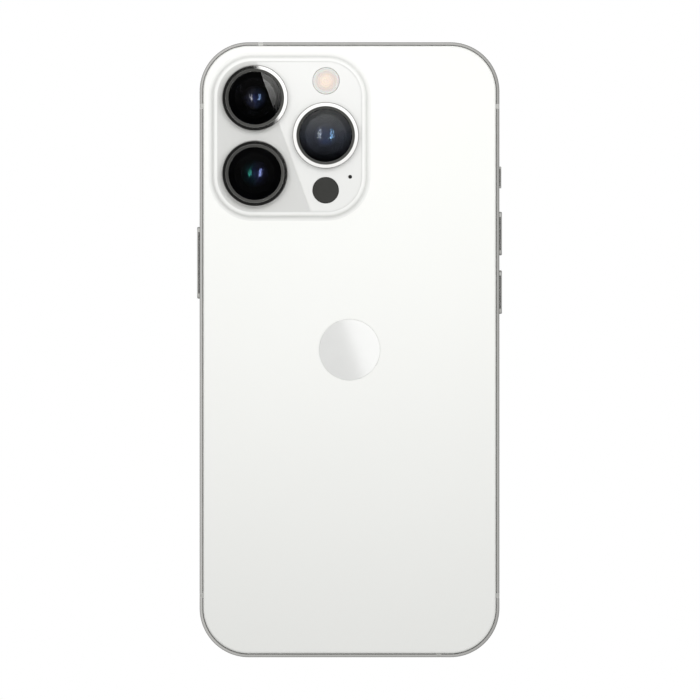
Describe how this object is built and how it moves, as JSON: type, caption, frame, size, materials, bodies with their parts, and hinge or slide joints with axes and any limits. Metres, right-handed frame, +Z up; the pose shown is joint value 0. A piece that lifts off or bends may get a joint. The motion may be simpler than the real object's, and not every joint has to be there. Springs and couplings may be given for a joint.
{
  "type": "smartphone",
  "caption": "Slim upright smartphone with a flat metal band, glass front and back, a raised rear camera plateau, side buttons, a ring switch, a card tray and a bottom charge port.",
  "frame": {"origin": "middle of the bottom edge, at the mouth of the charge port, halfway between the glasses' outer faces", "axes": "+Z up along the body's height, +Y out of the display, -Y out of the back and the cameras, +X to the right seen from the back"},
  "size_m": [0.0728, 0.0112, 0.1467],
  "materials": {
    "frosted_back_glass": "frosted white glass with a glossy plateau",
    "polished_mark": "mirror-polished disc",
    "polished_steel": "polished stainless steel",
    "antenna_plastic": "satin moulded plastic",
    "chassis_aluminium": "bead-blasted and anodised",
    "display_glass": "clear glass over a dark panel",
    "display_film": "dark, switched off",
    "black_frame": "fine matt",
    "gasket_rubber": "matt",
    "steel_mesh": "fine woven mesh",
    "polyimide": "printed flexible circuit",
    "card_plastic": "satin, with gold contacts",
    "stamped_steel": "stamped sheet",
    "ring_steel": "turned and polished",
    "cover_crystal": "coated clear crystal",
    "camera_housing": "black anodised",
    "barrel_black": "matt black with coated glass elements",
    "circuit_board": "solder mask with tinned pads",
    "flash_diffuser": "translucent, with fine rings",
    "led_phosphor": "phosphor over a white carrier",
    "tinted_glass": "dark tinted",
    "sensor_black": "dark filters in a black carrier",
    "gold_can": "gold-plated can",
    "screw_steel": "turned",
    "battery_foil": "pouch under a matt wrap",
    "copper_winding": "enamelled copper turns",
    "magnet_metal": "nickel-plated",
    "heavy_alloy": "ground",
    "speaker_plastic": "fine moulded grain",
    "diaphragm_film": "pressed film with a foam edge"
  },
  "bodies": {
    "root": {"back_glass": "frosted_back_glass", "back_mark_disc": "polished_mark", "band_top": "polished_steel", "band_right": "polished_steel", "band_bottom": "polished_steel", "band_left": "polished_steel", "band_corner_top_left": "polished_steel", "band_corner_bottom_right": "polished_steel", "antenna_inserts": "antenna_plastic", "chassis": "chassis_aluminium", "front_glass": "display_glass", "display_panel": "display_film", "display_bezel": "black_frame", "display_shield": "stamped_steel", "display_gasket": "gasket_rubber", "acoustic_meshes": "steel_mesh", "button_switches": "polyimide", "sim_reader": "stamped_steel", "telephoto_lens_ring": "ring_steel", "wide_lens_ring": "ring_steel", "ultrawide_lens_ring": "ring_steel", "telephoto_cover_glass": "cover_crystal", "wide_cover_glass": "cover_crystal", "ultrawide_cover_glass": "cover_crystal", "telephoto_camera": "camera_housing", "wide_camera": "camera_housing", "ultrawide_camera": "camera_housing", "camera_sensor_boards": "circuit_board", "flash_lens": "flash_diffuser", "flash_led": "led_phosphor", "depth_sensor_window": "tinted_glass", "depth_sensor_module": "camera_housing", "rear_microphone": "gold_can", "camera_bracket": "stamped_steel", "bracket_screws": "screw_steel", "front_camera": "barrel_black", "face_sensor": "sensor_black", "earpiece_speaker": "speaker_plastic", "battery": "battery_foil", "logic_board": "circuit_board", "board_shields": "stamped_steel", "flex_cables": "polyimide", "charging_coil": "copper_winding", "magnet_ring": "magnet_metal", "haptic_case": "stamped_steel", "haptic_springs": "stamped_steel", "loudspeaker_box": "speaker_plastic", "charge_port": "stamped_steel", "bottom_screws": "screw_steel"},
    "side_button": {"side_button": "polished_steel"},
    "volume_up_button": {"volume_up_button": "polished_steel"},
    "volume_down_button": {"volume_down_button": "polished_steel"},
    "ring_switch": {"ring_switch": "polished_steel"},
    "sim_tray": {"sim_tray": "polished_steel", "sim_card": "card_plastic"},
    "telephoto_focus": {"telephoto_barrel": "barrel_black"},
    "wide_focus": {"wide_barrel": "barrel_black"},
    "ultrawide_focus": {"ultrawide_barrel": "barrel_black"},
    "haptic_mass": {"haptic_mass": "heavy_alloy"},
    "speaker_cone": {"speaker_diaphragm": "diaphragm_film"}
  },
  "joints": [
    {"name": "side_button_press", "type": "slide", "parent": "root", "child": "side_button", "axis": [1, 0, 0], "range_m": [0, 0.0003], "stiffness_N_per_m": 4000},
    {"name": "volume_up_press", "type": "slide", "parent": "root", "child": "volume_up_button", "axis": [-1, 0, 0], "range_m": [0, 0.0003], "stiffness_N_per_m": 4000},
    {"name": "volume_down_press", "type": "slide", "parent": "root", "child": "volume_down_button", "axis": [-1, 0, 0], "range_m": [0, 0.0003], "stiffness_N_per_m": 4000},
    {"name": "ring_switch_slide", "type": "slide", "parent": "root", "child": "ring_switch", "axis": [0, -1, 0], "range_m": [0, 0.0012]},
    {"name": "sim_tray_slide", "type": "slide", "parent": "root", "child": "sim_tray", "axis": [1, 0, 0], "range_m": [0, 0.012]},
    {"name": "telephoto_focus_travel", "type": "slide", "parent": "root", "child": "telephoto_focus", "axis": [0, -1, 0], "range_m": [0, 0.00025], "stiffness_N_per_m": 400},
    {"name": "wide_focus_travel", "type": "slide", "parent": "root", "child": "wide_focus", "axis": [0, -1, 0], "range_m": [0, 0.00025], "stiffness_N_per_m": 400},
    {"name": "ultrawide_focus_travel", "type": "slide", "parent": "root", "child": "ultrawide_focus", "axis": [0, -1, 0], "range_m": [0, 0.0002], "stiffness_N_per_m": 400},
    {"name": "haptic_travel", "type": "slide", "parent": "root", "child": "haptic_mass", "axis": [1, 0, 0], "range_m": [-0.0008, 0.0008], "stiffness_N_per_m": 2200, "deforming": ["haptic_springs"]},
    {"name": "speaker_cone_travel", "type": "slide", "parent": "root", "child": "speaker_cone", "axis": [0, 1, 0], "range_m": [-0.0003, 0.0003], "stiffness_N_per_m": 800}
  ]
}
